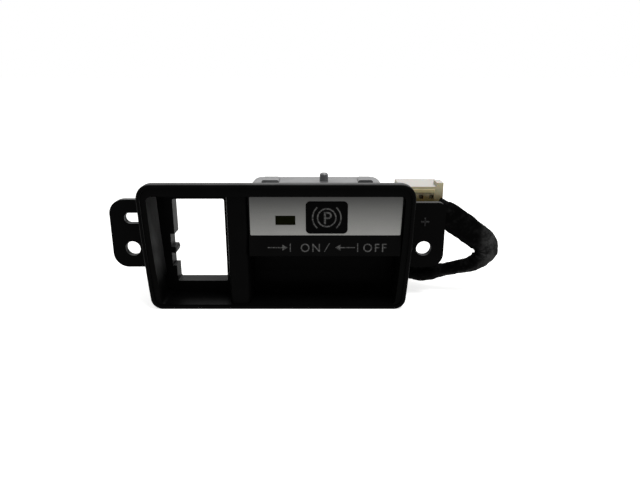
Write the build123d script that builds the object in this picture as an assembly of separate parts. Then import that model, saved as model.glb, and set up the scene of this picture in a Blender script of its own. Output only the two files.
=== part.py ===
from build123d import *
import os

# Electric parking brake switch in its trim frame, face towards -Y and +Z up, in millimetres.
# The origin lies midway between the two screw holes, on the front faces of the ears.

# Overlap of two shapes that are joined into one solid
join = 0.8

# Ears with the screw holes
screw_outset = 6.9
screw_hole_d = 6.6
ear_root_inset = 4.1
ear_thickness = 3.0
ear_margin = 8.9
ear_bottom = -8.6
left_ear_top = 22.2
right_ear_top = 20.8
left_ear_corner = 6.5
right_ear_upper_corner = 3.2
right_ear_lower_corner = 6.0
slot_height = 4.8
slot_length = 9.0
slot_centre_z = 13.9
slot_outer_end = 2.6
ear_mark_z = 12.2
ear_mark_length = 3.6
ear_mark_width = 0.7
ear_mark_depth = 0.4

# Trim frame
rim_front = -14.0
rim_thickness = 3.6
rim_centre_x = 0.5
rim_width_top = 115.2
rim_taper = 3.0
rim_side_bow = 0.5
rim_top = 31.7
rim_bottom = -23.3
rim_upper_corner = 6.5
rim_lower_corner = 5.0
rim_edge_radius = 1.1
bead_width = 1.7
bead_step = 0.7
rail_side = 4.3
rail_top = 5.3
rail_bottom = 2.1
rail_corner = 2.0
body_side_inset = 2.2
body_top_inset = 3.8
body_bottom_inset = 0.4
body_back = 8.8
back_wall = 1.8
recess_radius = 8.5
bay_window_side = 3.0
bay_window_bottom = 2.6
bay_window_top = 24.0

# Divider between the empty seat and the knob
divider_left = -20.4
divider_right = -11.6
divider_setback = 1.4
divider_wall = 1.8
divider_edge_radius = 2.4

# Seat for the neighbouring switch
seat_frame_front = 1.5
seat_left_inset = 11.1
seat_right_inset = 3.0
seat_bottom = -15.8
seat_top = 22.2
seat_corner = 0.8
notch_depth = 1.8
notch_height = 6.0
upper_notch_z = 3.3
lower_notch_z = -5.5
notch_tooth = 0.3
notch_tooth_setback = 0.6

# Knob
knob_gap_left = 0.4
knob_gap_right = 0.4
knob_face = -11.9
knob_top = 26.2
knob_bottom = 0.6
knob_depth = 9.0
knob_wall = 1.8
knob_lip_out = 1.5
knob_edge_radius = 0.8
knob_top_fall = 0.3
lip_back_gap = 0.6
pull_relief = 0.9
pull_relief_depth = 8.0
knob_back_slope = 3.0
knob_back_open_from = 7.6

# Silver strip, window and symbol plate on the knob
strip_thickness = 0.6
strip_height = 16.6
strip_side_margin = 0.5
strip_top_margin = 0.2
strip_corner = 0.5
window_offset = 17.2
window_rise = 6.5
window_width = 8.2
window_height = 3.9
symbol_width = 17.4
symbol_margin_below = 0.8
symbol_margin_above = 2.0
symbol_corner = 1.8
symbol_proud = 0.35
symbol_edge_slope = 0.25
symbol_ledge = 1.2
lens_sink = 0.2
lens_corner = 0.3
insert_gap = 0.05

# Hinge
pivot_y = -8.5
pivot_z = 22.8
pin_d = 3.0
pin_running_gap = 0.05
pin_end_recess = 1.6
pin_chamfer = 0.3
hub_radius = 3.0
hub_flat = 2.0

# Drive arm
arm_inset = 11.5
arm_thickness = 3.0
arm_reach = 21.0
arm_tip_z = 16.5
arm_tip_d = 3.0
arm_tip_width = 6.0
arm_neck = 2.4
arm_neck_gap = 0.6
arm_tip_gap = 0.1
arm_slot_end_gap = 0.8
web_front_bottom = 13.8
web_back_y = -4.5
web_back_bottom = 15.8

# Switch housing
housing_left_overlap = 2.9
housing_right_inset = 5.8
housing_bottom = -20.0
housing_top = 26.7
housing_back = 28.4
housing_wall = 1.6
housing_corner = 5.0
hump_height = 1.2
hump_front = 15.0
hump_depth = 9.0
hump_radius = 1.1
left_hump_inset = 10.3
left_hump_width = 8.0
right_hump_inset = 8.7
right_hump_width = 6.8
peg_offset = 1.0
peg_d = 3.9
peg_height = 3.6
peg_edge_slope = 0.6
peg_y = 20.0
tab_thickness = 2.2
tab_radius = 3.4
arm_window_width = 6.8
arm_window_bottom = 12.2
arm_window_top = 20.6
rear_cover_thickness = 1.6
cover_lip = 1.6
cover_lip_gap = 0.15
cover_lip_width = 1.2
cover_edge_slope = 0.6
cover_post_gap = 0.25

# Screws that hold the housing to the frame and the cover to the housing
boss_radius = 2.7
boss_pilot_d = 2.0
left_boss_inset = 2.8
left_boss_top_z = 19.0
left_boss_bottom_z = -13.0
right_boss_outset = 8.6
right_boss_z = 1.0
screw_d = 2.0
screw_sides = 8
screw_length = 9.0
screw_head_d = 4.8
screw_head_height = 1.8
screw_clear_d = 2.6
screw_recess_d = 2.2
screw_recess_width = 0.6
screw_recess_depth = 1.0
screw_head_slope = 0.6
cover_screw_inset = 3.6
low_right_screw_inset = 11.0
cover_screw_length = 6.0
cover_post_radius = 2.2

# Circuit board and what it carries
board_gap = 1.6
board_thickness = 1.6
board_inset = 2.6
board_post_radius = 1.6
board_post_inset = 8.0
led_width = 3.5
led_height = 2.8
led_depth = 1.6
led_dome = 1.2
pad_thickness = 0.3
pad_width = 2.0
pad_top = 24.0
pad_pitch = 9.5
pad_rows = 3
pad_length = 6.2
chip_size = 9.0
chip_height = 1.6
resistor_length = 2.0
resistor_width = 1.2
resistor_height = 0.6
resistor_inset = 9.6
resistor_top_z = 16.0
resistor_count = 5
resistor_pitch = 4.0

# Light pipes
pipe_front = -7.6
pipe_led_gap = 0.4
indicator_pipe_width = 6.0
indicator_pipe_height = 2.4
symbol_pipe_clearance = 1.08
symbol_pipe_height = 7.4
symbol_pipe_drop = 1.4
symbol_pipe_tail = 5.0
pipe_flange = 1.4
pipe_flange_thickness = 1.0
pipe_wall_gap = 0.15

# Contact slider and its springs
slider_width = 9.0
slider_front_gap = 0.2
slider_back_wall = 3.8
slider_bottom = 9.0
slider_top = 20.3
slider_guide_gap = 0.12
slider_edge_radius = 0.6
guide_rib = 1.6
spring_wire_d = 0.6
spring_d = 5.0
spring_turns = 4
spring_sides = 5
spring_seat_gap = 0.05
wiper_thickness = 0.3
wiper_rise = 1.1
wiper_span = 6.4
wiper_drop = 1.6
wiper_pitch = 4.6

# Harness, its grommet and the loose wires at the connector
harness_d = 7.0
harness_sides = 14
harness_lead = 6.0
harness_tail = 5.4
grommet_y = 17.0
grommet_z = -13.6
grommet_d = 10.0
grommet_groove = 1.2
grommet_length = 4.0
grommet_flange = 1.4
grommet_inner_end = 0.9
grommet_sleeve = 0.5
wire_d = 1.6
wire_bend = 2.4
wire_overhang = 0.4
wire_sides = 6
wire_bend_end = 0.1
wire_first_y = 7.5
wire_layer = 1.65

# Connector
connector_overlap = 10.3
connector_width = 19.4
connector_front = 9.2
connector_back = 28.0
connector_bottom = 10.6
connector_top = 26.0
connector_wall = 1.2
connector_cavity_depth = 15.0
lower_row_rise = 1.8
middle_row_rise = 5.8
upper_row_rise = 10.8
first_cavity = 4.9
cavity_pitch = 4.7
cavity_column_count = 3
cavity_size = 2.0
unused_cavity_depth = 2.2
end_block_width = 2.9
end_block_height = 1.7
end_block_depth = 8.0
connector_edge_radius = 0.6
terminal_size = 0.8
terminal_length = 9.0
terminal_box_setback = 0.6
retainer_inset = 1.4
retainer_length = 14.2
retainer_bottom = 23.2
retainer_height = 1.7
retainer_depth = 2.4
retainer_proud = 0.3
retainer_edge_radius = 0.2
rail_inset = 9.4
rail_head_width = 5.4
rail_stem_width = 2.8
rail_head_height = 0.8
rail_gap = 0.2
rail_foot = 1.3
rail_front = 10.0
rail_length = 12.0
shelf_thickness = 2.0
shelf_width = 13.0

os.makedirs("parts", exist_ok=True)


# Shared shapes
def plate(sketch, front, depth):
    """Sketch drawn in X and Z, from the depth front to front + depth along Y."""
    return extrude(Plane.XZ.offset(-front - depth) * sketch, amount=depth, dir=(0, -1, 0))


def beam(sketch, left, width):
    """Sketch drawn in Y and Z, from the place left to left + width along X."""
    return extrude(Plane.YZ.offset(left) * sketch, amount=width, dir=(1, 0, 0))


def rectangle(left, right, bottom, top, radius=0.0):
    shape = Rectangle(right - left, top - bottom)
    if radius > 0:
        shape = fillet(shape.vertices(), radius)
    return Pos((left + right) / 2, (bottom + top) / 2) * shape


def block(left, right, front, back, bottom, top):
    middle = Pos((left + right) / 2, (front + back) / 2, (bottom + top) / 2)
    return middle * Box(right - left, back - front, top - bottom)


def rod(x, z, radius, front, back):
    """Round bar along Y."""
    return plate(Pos(x, z) * Circle(radius), front, back - front)


def cross_rod(y, z, radius, left, right):
    """Round bar along X."""
    return beam(Pos(y, z) * Circle(radius), left, right - left)


def frame_outline(side, top, bottom, upper_corner, lower_corner):
    """Outline of the trim frame, set in from its outer edge on the sides, top and bottom."""
    half_top = rim_width_top / 2 - side
    half_bottom = half_top - rim_taper
    half_middle = (half_top + half_bottom) / 2 + rim_side_bow
    high = rim_top - top
    low = rim_bottom + bottom
    middle = (high + low) / 2
    with BuildSketch() as outline:
        with BuildLine():
            Line((rim_centre_x - half_bottom, low), (rim_centre_x + half_bottom, low))
            ThreePointArc(
                (rim_centre_x + half_bottom, low),
                (rim_centre_x + half_middle, middle),
                (rim_centre_x + half_top, high),
            )
            Line((rim_centre_x + half_top, high), (rim_centre_x - half_top, high))
            ThreePointArc(
                (rim_centre_x - half_top, high),
                (rim_centre_x - half_middle, middle),
                (rim_centre_x - half_bottom, low),
            )
        make_face()
        fillet(outline.vertices().group_by(Axis.Y)[-1], upper_corner)
        fillet(outline.vertices().group_by(Axis.Y)[0], lower_corner)
    return outline.sketch


def wire_path(points, radii):
    return FilletPolyline(*points, radius=radii)


def tube(path, diameter, sides):
    section = Plane(origin=path @ 0, z_dir=path % 0) * RegularPolygon(diameter / 2, sides)
    return sweep(section, path=path)


# Places that several pieces share
rim_left = rim_centre_x - rim_width_top / 2
rim_right = rim_centre_x + rim_width_top / 2
screw_x = rim_width_top / 2 + screw_outset
ear_root_x = rim_width_top / 2 - ear_root_inset
ear_reach = screw_x + ear_margin
ceiling = rim_top - rail_top
floor_z = rim_bottom + rail_bottom
bay_back = body_back - back_wall
seat_left = rim_left + seat_left_inset
seat_right = divider_left - seat_right_inset
notch_heights = (upper_notch_z, lower_notch_z)
knob_left = divider_right + knob_gap_left
knob_right = rim_right - rail_side
symbol_x = (knob_left + knob_right) / 2
window_x = symbol_x - window_offset
strip_bottom = knob_top - strip_height
window_z = strip_bottom + window_rise
symbol_height = strip_height - symbol_margin_below - symbol_margin_above
symbol_z = strip_bottom + symbol_margin_below + symbol_height / 2
arm_tip_y = pivot_y + arm_reach
slider_back = arm_tip_y + arm_tip_d / 2 + arm_slot_end_gap + slider_back_wall
board_front = slider_back + board_gap
housing_front = body_back
housing_inner_front = housing_front + housing_wall
board_back = board_front + board_thickness
slider_front = housing_inner_front + slider_front_gap
housing_left = divider_right - housing_left_overlap
housing_right = knob_right - housing_right_inset
left_boss_x = divider_left + left_boss_inset
left_boss_heights = (left_boss_top_z, left_boss_bottom_z)
right_boss_x = housing_right + right_boss_outset
left_hump_x = housing_left + left_hump_inset
right_hump_x = housing_right - right_hump_inset
peg_x = symbol_x - peg_offset
arm_x = housing_right - arm_inset
guide_reach = slider_width / 2 + slider_guide_gap + guide_rib
symbol_pipe_width = 2 * (arm_x - guide_reach - pipe_flange - symbol_pipe_clearance - symbol_x)
resistor_x = housing_left + resistor_inset
pad_heights = tuple(pad_top - row * pad_pitch for row in range(pad_rows))
connector_left = screw_x - connector_overlap
connector_right = connector_left + connector_width
wire_end_x = connector_right + wire_overhang
wire_rows = (connector_bottom + lower_row_rise, connector_bottom + middle_row_rise)
cavity_rows = wire_rows + (connector_bottom + upper_row_rise,)
cavity_columns = tuple(connector_left + first_cavity + cavity_pitch * i for i in range(cavity_column_count))
retainer_left = connector_left + retainer_inset
retainer_right = retainer_left + retainer_length
rail_x = connector_left + rail_inset


# Trim frame
def ear(side, top, upper_corner, lower_corner):
    """One ear, with side -1 on the left and 1 on the right."""
    inner = side * ear_root_x
    outer = side * ear_reach
    outline = rectangle(min(inner, outer), max(inner, outer), ear_bottom, top)
    low_corner, high_corner = outline.vertices().group_by(Axis.X)[0 if side < 0 else -1].sort_by(Axis.Y)
    outline = fillet(low_corner, lower_corner)
    high_corner = outline.vertices().sort_by_distance(high_corner)[0]
    solid = plate(fillet(high_corner, upper_corner), 0, ear_thickness)
    return solid - rod(side * screw_x, 0, screw_hole_d / 2, 0, ear_thickness)


def left_slot():
    left = -screw_x - slot_outer_end
    middle = left + slot_length / 2
    return plate(Pos(middle, slot_centre_z) * SlotOverall(slot_length, slot_height), 0, ear_thickness)


def ear_mark():
    """Small raised cross on the right ear."""
    upright = Rectangle(ear_mark_width, ear_mark_length)
    cross = upright + Rectangle(ear_mark_length, ear_mark_width)
    return plate(Pos(screw_x, ear_mark_z) * cross, -ear_mark_depth, ear_mark_depth)


def divider_edges():
    """Rounding of both upright front edges of the divider, as the material that it takes off."""
    front = rim_front + divider_setback
    top_view = Pos((divider_left + divider_right) / 2, front + divider_edge_radius) * Rectangle(
        divider_right - divider_left, 2 * divider_edge_radius
    )
    rounded = fillet(top_view.vertices().group_by(Axis.Y)[0], divider_edge_radius)
    corners = Plane.XY.offset(floor_z) * (top_view - rounded)
    return extrude(corners, amount=ceiling - floor_z, dir=(0, 0, 1))


def inner_space(left, right, front, back):
    """Part of the inside of the frame between two places along X."""
    inside = frame_outline(rail_side, rail_top, rail_bottom, rail_corner, rail_corner)
    window = rectangle(left, right, rim_bottom, rim_top)
    return plate(inside & window, front, back - front)


def finger_bay():
    """Space of the knob with the finger recess, rounded where its floor meets the back wall."""
    side_view = rectangle(rim_front, bay_back, floor_z, rim_top)
    deep_corner = side_view.vertices().sort_by(Axis.Y)[:2].sort_by(Axis.X)[-1]
    side_view = fillet(deep_corner, recess_radius)
    return inner_space(divider_right, rim_width_top, rim_front, bay_back) & beam(
        side_view, divider_right, rim_width_top
    )


def seat_cut():
    opening = rectangle(seat_left, seat_right, seat_bottom, seat_top, seat_corner)
    for height in notch_heights:
        opening += rectangle(
            seat_left - notch_depth,
            seat_left + join,
            height - notch_height / 2,
            height + notch_height / 2,
        )
    return plate(opening, seat_frame_front, body_back - seat_frame_front)


def seat_tooth():
    """Clip edge that stands into the opening between the two notches."""
    low = notch_heights[1] + notch_height / 2
    high = notch_heights[0] - notch_height / 2
    middle = (low + high) / 2
    half = (high - low) / 4
    return block(
        seat_left - join,
        seat_left + notch_tooth,
        seat_frame_front + notch_tooth_setback,
        body_back,
        middle - half,
        middle + half,
    )


def housing_screw_places():
    left = [(left_boss_x, height) for height in left_boss_heights]
    return left + [(right_boss_x, right_boss_z)]


def boss(x, z, front):
    return rod(x, z, boss_radius, front, body_back)


def connector_rail():
    """Shelf behind the right ear with the T-shaped rail that the connector slides on."""
    shelf_top = connector_bottom - rail_gap - rail_head_height - rail_foot - 2 * rail_gap
    shelf = block(
        rail_x - shelf_width / 2,
        rail_x + shelf_width / 2,
        ear_thickness,
        rail_front + rail_length,
        shelf_top - shelf_thickness,
        shelf_top,
    )
    head_bottom = connector_bottom - rail_gap - rail_head_height
    stem = block(
        rail_x - rail_stem_width / 2,
        rail_x + rail_stem_width / 2,
        rail_front,
        rail_front + rail_length,
        shelf_top,
        head_bottom,
    )
    head = block(
        rail_x - rail_head_width / 2,
        rail_x + rail_head_width / 2,
        rail_front,
        rail_front + rail_length,
        head_bottom,
        head_bottom + rail_head_height,
    )
    return shelf + stem + head


def make_bezel():
    rim = plate(frame_outline(0, 0, 0, rim_upper_corner, rim_lower_corner), rim_front, rim_thickness)
    rim = fillet(rim.faces().sort_by(Axis.Y)[0].edges(), rim_edge_radius)
    step = frame_outline(
        bead_width,
        bead_width,
        bead_width,
        rim_upper_corner - bead_width,
        rim_lower_corner - bead_width,
    )
    rim -= plate(step, rim_front, bead_step)
    body = plate(
        frame_outline(body_side_inset, body_top_inset, body_bottom_inset, rail_corner + 1, rail_corner + 2),
        rim_front + rim_thickness,
        body_back - rim_front - rim_thickness,
    )
    frame = rim + body
    frame -= inner_space(-rim_width_top, divider_left, rim_front, seat_frame_front)
    frame -= finger_bay()
    frame -= block(divider_left, divider_right, rim_front, rim_front + divider_setback, floor_z, ceiling)
    frame -= divider_edges()
    frame -= block(
        divider_left + divider_wall,
        divider_right - divider_wall,
        rim_front + divider_setback + divider_wall,
        body_back,
        floor_z + divider_wall,
        ceiling - divider_wall,
    )
    frame -= block(
        knob_left,
        knob_right,
        knob_face - lip_back_gap,
        rim_front + pull_relief_depth,
        ceiling - join,
        ceiling + pull_relief,
    )
    frame -= seat_cut()
    frame -= block(
        knob_left + bay_window_side,
        knob_right - bay_window_side,
        bay_back,
        body_back,
        bay_window_bottom,
        bay_window_top,
    )
    frame += seat_tooth()
    frame += ear(-1, left_ear_top, left_ear_corner, left_ear_corner) - left_slot()
    frame += ear(1, right_ear_top, right_ear_upper_corner, right_ear_lower_corner)
    frame += ear_mark()
    for height in left_boss_heights:
        frame += boss(left_boss_x, height, rim_front + divider_setback + divider_wall)
    frame += boss(right_boss_x, right_boss_z, 0)
    for x, z in housing_screw_places():
        frame -= rod(x, z, boss_pilot_d / 2, body_back - screw_length, body_back)
    frame += connector_rail()
    frame -= cross_rod(
        pivot_y,
        pivot_z,
        pin_d / 2,
        divider_right - divider_wall,
        divider_right,
    )
    frame -= cross_rod(pivot_y, pivot_z, pin_d / 2, knob_right - join, rim_right)
    return frame


# Knob and what it carries
def knob_profile():
    """Side view of the knob in Y and Z, with the lip that flares out at the bottom."""
    back = knob_face + knob_depth
    with BuildSketch() as profile:
        with BuildLine():
            Polyline(
                (knob_face, knob_top),
                (knob_face, strip_bottom),
                (knob_face - knob_lip_out, knob_bottom),
                (back - knob_back_slope, knob_bottom),
                (back, knob_bottom + knob_back_slope),
                (back, knob_top - knob_back_slope),
                (pivot_y + hub_flat, knob_top - knob_top_fall),
                (pivot_y, knob_top - knob_top_fall),
                close=True,
            )
        make_face()
    return profile.sketch


def drive_arm():
    """Web behind the face with the hub on the hinge pin and the arm to the contact slider."""
    neck = housing_front - arm_neck_gap
    web = Polygon(
        (knob_face + join, web_front_bottom),
        (web_back_y, web_back_bottom),
        (neck, arm_tip_z - arm_neck / 2),
        (arm_tip_y, arm_tip_z - arm_neck / 2),
        (arm_tip_y, arm_tip_z + arm_neck / 2),
        (neck, arm_tip_z + arm_neck / 2),
        (pivot_y + hub_flat, pivot_z + hub_radius),
        (pivot_y, pivot_z + hub_radius),
        (knob_face + join, pivot_z),
        align=None,
    )
    arm = beam(web, arm_x - arm_thickness / 2, arm_thickness)
    tip = cross_rod(
        arm_tip_y,
        arm_tip_z,
        arm_tip_d / 2,
        arm_x - arm_tip_width / 2,
        arm_x + arm_tip_width / 2,
    )
    return arm + tip


def strip_seat(gap):
    """Outline of the silver strip on the knob face."""
    strip = rectangle(knob_left, rim_right, strip_bottom - gap, knob_top - strip_top_margin)
    strip &= knob_outline(strip_side_margin - gap)
    return fillet(strip.vertices(), strip_corner)


def window_outline(gap):
    half_width = window_width / 2 + gap
    half_height = window_height / 2 + gap
    return Pos(window_x, window_z) * Rectangle(2 * half_width, 2 * half_height)


def symbol_outline(gap):
    shape = RectangleRounded(symbol_width + 2 * gap, symbol_height + 2 * gap, symbol_corner + gap)
    return Pos(symbol_x, symbol_z) * shape


def knob_outline(inset):
    """Front view of the knob, whose right side runs along the side of the frame."""
    side = rail_side + knob_gap_right + inset
    return frame_outline(side, 0, 0, rail_corner, rail_corner) & rectangle(
        knob_left + inset, rim_width_top, rim_bottom, rim_top
    )


def make_knob():
    outer = beam(knob_profile(), knob_left, knob_right - knob_left)
    outer = fillet(outer.edges().filter_by(Axis.X).sort_by(Axis.Y)[:1], knob_edge_radius)
    outer &= plate(knob_outline(0), rim_front, body_back - rim_front)
    inner = beam(offset(knob_profile(), -knob_wall), knob_left, knob_right - knob_left)
    inner &= plate(knob_outline(knob_wall), rim_front, body_back - rim_front)
    shell = outer - inner
    open_back = rectangle(knob_left, knob_right, knob_back_open_from, knob_top) & knob_outline(knob_wall)
    shell -= plate(open_back, knob_face + knob_depth - knob_wall - join, knob_wall + join)
    shell += drive_arm()
    shell -= cross_rod(pivot_y, pivot_z, pin_d / 2 + pin_running_gap, knob_left, knob_right)
    shell -= plate(strip_seat(0), knob_face, strip_thickness)
    shell -= plate(window_outline(0), knob_face, knob_wall)
    shell -= plate(symbol_outline(-symbol_ledge), knob_face, knob_wall)
    return shell


def make_trim_strip():
    strip = plate(strip_seat(-insert_gap), knob_face, strip_thickness)
    strip -= plate(window_outline(insert_gap), knob_face, strip_thickness)
    return strip - plate(symbol_outline(insert_gap), knob_face, strip_thickness)


def make_indicator_lens():
    lens = plate(window_outline(-insert_gap), knob_face + lens_sink, knob_wall - lens_sink)
    return fillet(lens.edges().filter_by(Axis.Y), lens_corner)


def make_symbol_plate():
    face = plate(symbol_outline(-insert_gap), knob_face - symbol_proud, symbol_proud + strip_thickness)
    stem = plate(
        symbol_outline(-symbol_ledge - insert_gap),
        knob_face + strip_thickness,
        knob_wall - strip_thickness,
    )
    return chamfer(face.faces().sort_by(Axis.Y)[0].edges(), symbol_edge_slope) + stem


def make_hinge_pin():
    right_end = rim_right - body_side_inset - pin_end_recess
    pin = cross_rod(pivot_y, pivot_z, pin_d / 2, divider_right - divider_wall, right_end)
    return chamfer(pin.edges().sort_by(Axis.X)[-1], pin_chamfer)


# Switch housing
def housing_outline(inset):
    return rectangle(
        housing_left + inset,
        housing_right - inset,
        housing_bottom + inset,
        housing_top - inset,
        housing_corner - inset,
    )


def cover_screw_places():
    left = housing_left + cover_screw_inset
    right = housing_right - cover_screw_inset
    low = housing_bottom + cover_screw_inset
    high = housing_top - cover_screw_inset
    low_right = housing_right - low_right_screw_inset
    return ((left, low), (low_right, low), (left, high), (right, high))


def board_post_places():
    left = housing_left + board_post_inset
    right = housing_right - board_post_inset
    low = housing_bottom + board_post_inset
    return ((left, low), (right, low))


def slider_guides():
    """Two ribs beside the contact slider and the shelf under its lower spring."""
    reach = slider_width / 2 + slider_guide_gap
    ribs = []
    for side in (-1, 1):
        near = arm_x + side * reach
        far = arm_x + side * (reach + guide_rib)
        ribs.append(
            block(
                min(near, far),
                max(near, far),
                housing_inner_front - join,
                slider_back,
                slider_bottom - spring_space() - guide_rib,
                housing_top - housing_wall + join,
            )
        )
    shelf = block(
        arm_x - reach - join,
        arm_x + reach + join,
        housing_inner_front - join,
        slider_back,
        slider_bottom - spring_space() - guide_rib,
        slider_bottom - spring_space(),
    )
    return ribs[0] + ribs[1] + shelf


def spring_space():
    """Room for each spring, equal above and below the slider."""
    return housing_top - housing_wall - slider_top


def hump(x, width):
    """Low rounded rib on top of the housing."""
    shape = rectangle(x - width / 2, x + width / 2, housing_top - join, housing_top + hump_height)
    shape = fillet(shape.vertices().group_by(Axis.Y)[-1], hump_radius)
    return plate(shape, hump_front, hump_depth)


def screw_tab(x, z, towards):
    """Tab with a clearance hole, reaching from the screw to the housing wall."""
    ring = Pos(x, z) * Circle(tab_radius)
    arm = rectangle(min(x, towards), max(x, towards), z - tab_radius, z + tab_radius)
    solid = plate(ring + arm, housing_front, tab_thickness)
    return solid - rod(x, z, screw_clear_d / 2, housing_front, housing_front + tab_thickness)


def pipe_hole(x, z, width, height):
    gap = pipe_wall_gap
    hole = rectangle(x - width / 2 - gap, x + width / 2 + gap, z - height / 2 - gap, z + height / 2 + gap)
    return plate(hole, housing_front, housing_wall)


def symbol_pipe_z():
    return symbol_z - symbol_pipe_drop


def make_switch_housing():
    outer = plate(housing_outline(0), housing_front, housing_back - housing_front)
    inner = plate(housing_outline(housing_wall), housing_inner_front, housing_back - housing_inner_front)
    shell = outer - inner
    shell += hump(left_hump_x, left_hump_width)
    shell += hump(right_hump_x, right_hump_width)
    peg = Pos(peg_x, peg_y, housing_top - join) * Cylinder(
        peg_d / 2, peg_height + join, align=(Align.CENTER, Align.CENTER, Align.MIN)
    )
    shell += chamfer(peg.edges().sort_by(Axis.Z)[-1], peg_edge_slope)
    for height in left_boss_heights:
        shell += screw_tab(left_boss_x, height, housing_left + join)
    shell += screw_tab(right_boss_x, right_boss_z, housing_right - join)
    for x, z in cover_screw_places():
        shell += rod(x, z, cover_post_radius, housing_inner_front - join, housing_back)
    for x, z in board_post_places():
        shell += rod(x, z, board_post_radius, housing_inner_front - join, board_front)
    shell += slider_guides()
    for x, z in cover_screw_places():
        shell -= rod(x, z, boss_pilot_d / 2, housing_back - cover_screw_length, housing_back)
    shell -= block(
        arm_x - arm_window_width / 2,
        arm_x + arm_window_width / 2,
        housing_front,
        housing_inner_front,
        arm_window_bottom,
        arm_window_top,
    )
    shell -= pipe_hole(window_x, window_z, indicator_pipe_width, indicator_pipe_height)
    shell -= pipe_hole(symbol_x, symbol_pipe_z(), symbol_pipe_width, symbol_pipe_height)
    shell -= cross_rod(
        grommet_y,
        grommet_z,
        grommet_d / 2 - grommet_groove,
        housing_right - housing_corner,
        housing_right,
    )
    return shell


def make_rear_cover():
    cover = plate(housing_outline(0), housing_back, rear_cover_thickness)
    cover = chamfer(cover.faces().sort_by(Axis.Y)[-1].edges(), cover_edge_slope)
    lip = plate(housing_outline(housing_wall + cover_lip_gap), housing_back - cover_lip, cover_lip)
    lip -= plate(housing_outline(housing_wall + cover_lip_gap + cover_lip_width), housing_back - cover_lip, cover_lip)
    for x, z in cover_screw_places():
        lip -= rod(x, z, cover_post_radius + cover_post_gap, housing_back - cover_lip, housing_back)
    cover += lip
    for x, z in cover_screw_places():
        cover -= rod(x, z, screw_clear_d / 2, housing_back, housing_back + rear_cover_thickness)
    return cover


# Circuit board and light pipes
def make_circuit_board():
    board = plate(housing_outline(board_inset), board_front, board_thickness)
    for x, z in cover_screw_places():
        board -= rod(x, z, cover_post_radius + cover_post_gap, board_front, board_back)
    return board


def make_led(x, z):
    base = plate(Pos(x, z) * Rectangle(led_width, led_height), board_front - led_depth, led_depth)
    dome = rod(x, z, led_dome, board_front - led_depth - led_dome / 2, board_front - led_depth)
    return base + chamfer(dome.edges().sort_by(Axis.Y)[0], led_dome / 3)


def pipe_tail():
    return board_front - led_depth - led_dome / 2 - pipe_led_gap


def make_indicator_pipe():
    section = Pos(window_x, window_z) * Rectangle(indicator_pipe_width, indicator_pipe_height)
    stem = plate(section, pipe_front, pipe_tail() - pipe_front)
    flange = plate(
        offset(section, pipe_flange, kind=Kind.INTERSECTION),
        housing_inner_front,
        pipe_flange_thickness,
    )
    return stem + flange


def make_symbol_pipe():
    """Light pipe that narrows from the symbol to its lamp."""
    height = symbol_pipe_z()
    section = Pos(symbol_x, height) * Rectangle(symbol_pipe_width, symbol_pipe_height)
    front = plate(section, pipe_front, housing_inner_front - pipe_front)
    flange = plate(
        offset(section, pipe_flange, kind=Kind.INTERSECTION),
        housing_inner_front,
        pipe_flange_thickness,
    )
    wide = Plane.XZ.offset(-housing_inner_front - pipe_flange_thickness) * section
    tail = Pos(symbol_x, height) * Rectangle(symbol_pipe_tail, symbol_pipe_tail)
    narrow = Plane.XZ.offset(-pipe_tail()) * tail
    return front + flange + loft([wide, narrow])


def make_contact_pads():
    pads = []
    for side in (-1, 1):
        x = arm_x + side * wiper_pitch / 2
        for height in pad_heights:
            outline = rectangle(x - pad_width / 2, x + pad_width / 2, height - pad_length, height)
            pads.append(plate(outline, board_front - pad_thickness, pad_thickness))
    return Compound(children=pads)


def make_board_components():
    """Control chip and a row of chip resistors on the back of the board."""
    chip = Pos(symbol_x, 0) * Rectangle(chip_size, chip_size)
    pieces = [plate(chip, board_back, chip_height)]
    for index in range(resistor_count):
        place = Pos(resistor_x, resistor_top_z - index * resistor_pitch)
        outline = place * Rectangle(resistor_length, resistor_width)
        pieces.append(plate(outline, board_back, resistor_height))
    return Compound(children=pieces)


# Contact slider
def make_contact_slider():
    slider = block(
        arm_x - slider_width / 2,
        arm_x + slider_width / 2,
        slider_front,
        slider_back,
        slider_bottom,
        slider_top,
    )
    slider = fillet(slider.edges().filter_by(Axis.Y), slider_edge_radius)
    slot = block(
        arm_x - slider_width / 2,
        arm_x + slider_width / 2,
        slider_front,
        arm_tip_y + arm_tip_d / 2 + arm_slot_end_gap,
        arm_tip_z - arm_tip_d / 2 - arm_tip_gap,
        arm_tip_z + arm_tip_d / 2 + arm_tip_gap,
    )
    return slider - slot


def make_contact_wipers():
    """Two bowed leaves on the back of the slider."""
    middle = (slider_bottom + slider_top) / 2 - wiper_drop
    low = middle - wiper_span / 2
    high = middle + wiper_span / 2
    with BuildSketch() as leaf:
        with BuildLine():
            ThreePointArc((slider_back, low), (slider_back + wiper_rise, middle), (slider_back, high))
            Line((slider_back, high), (slider_back, high - 2 * wiper_thickness))
            ThreePointArc(
                (slider_back, high - 2 * wiper_thickness),
                (slider_back + wiper_rise - wiper_thickness, middle),
                (slider_back, low + 2 * wiper_thickness),
            )
            Line((slider_back, low + 2 * wiper_thickness), (slider_back, low))
        make_face()
    leaves = []
    for side in (-1, 1):
        x = arm_x + side * wiper_pitch / 2
        leaves.append(beam(leaf.sketch, x - pad_width / 4, pad_width / 2))
    return Compound(children=leaves)


def make_spring(bottom, top):
    """Coil spring along Z between two seats."""
    radius = (spring_d - spring_wire_d) / 2
    low = bottom + spring_seat_gap + spring_wire_d / 2
    high = top - spring_seat_gap - spring_wire_d / 2
    height = high - low
    middle_y = (slider_front + slider_back) / 2
    coil = Helix(pitch=height / spring_turns, height=height, radius=radius)
    section = Plane(origin=coil @ 0, z_dir=coil % 0) * RegularPolygon(spring_wire_d / 2, spring_sides)
    return Pos(arm_x, middle_y, low) * sweep(section, path=coil, is_frenet=True)


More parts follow.
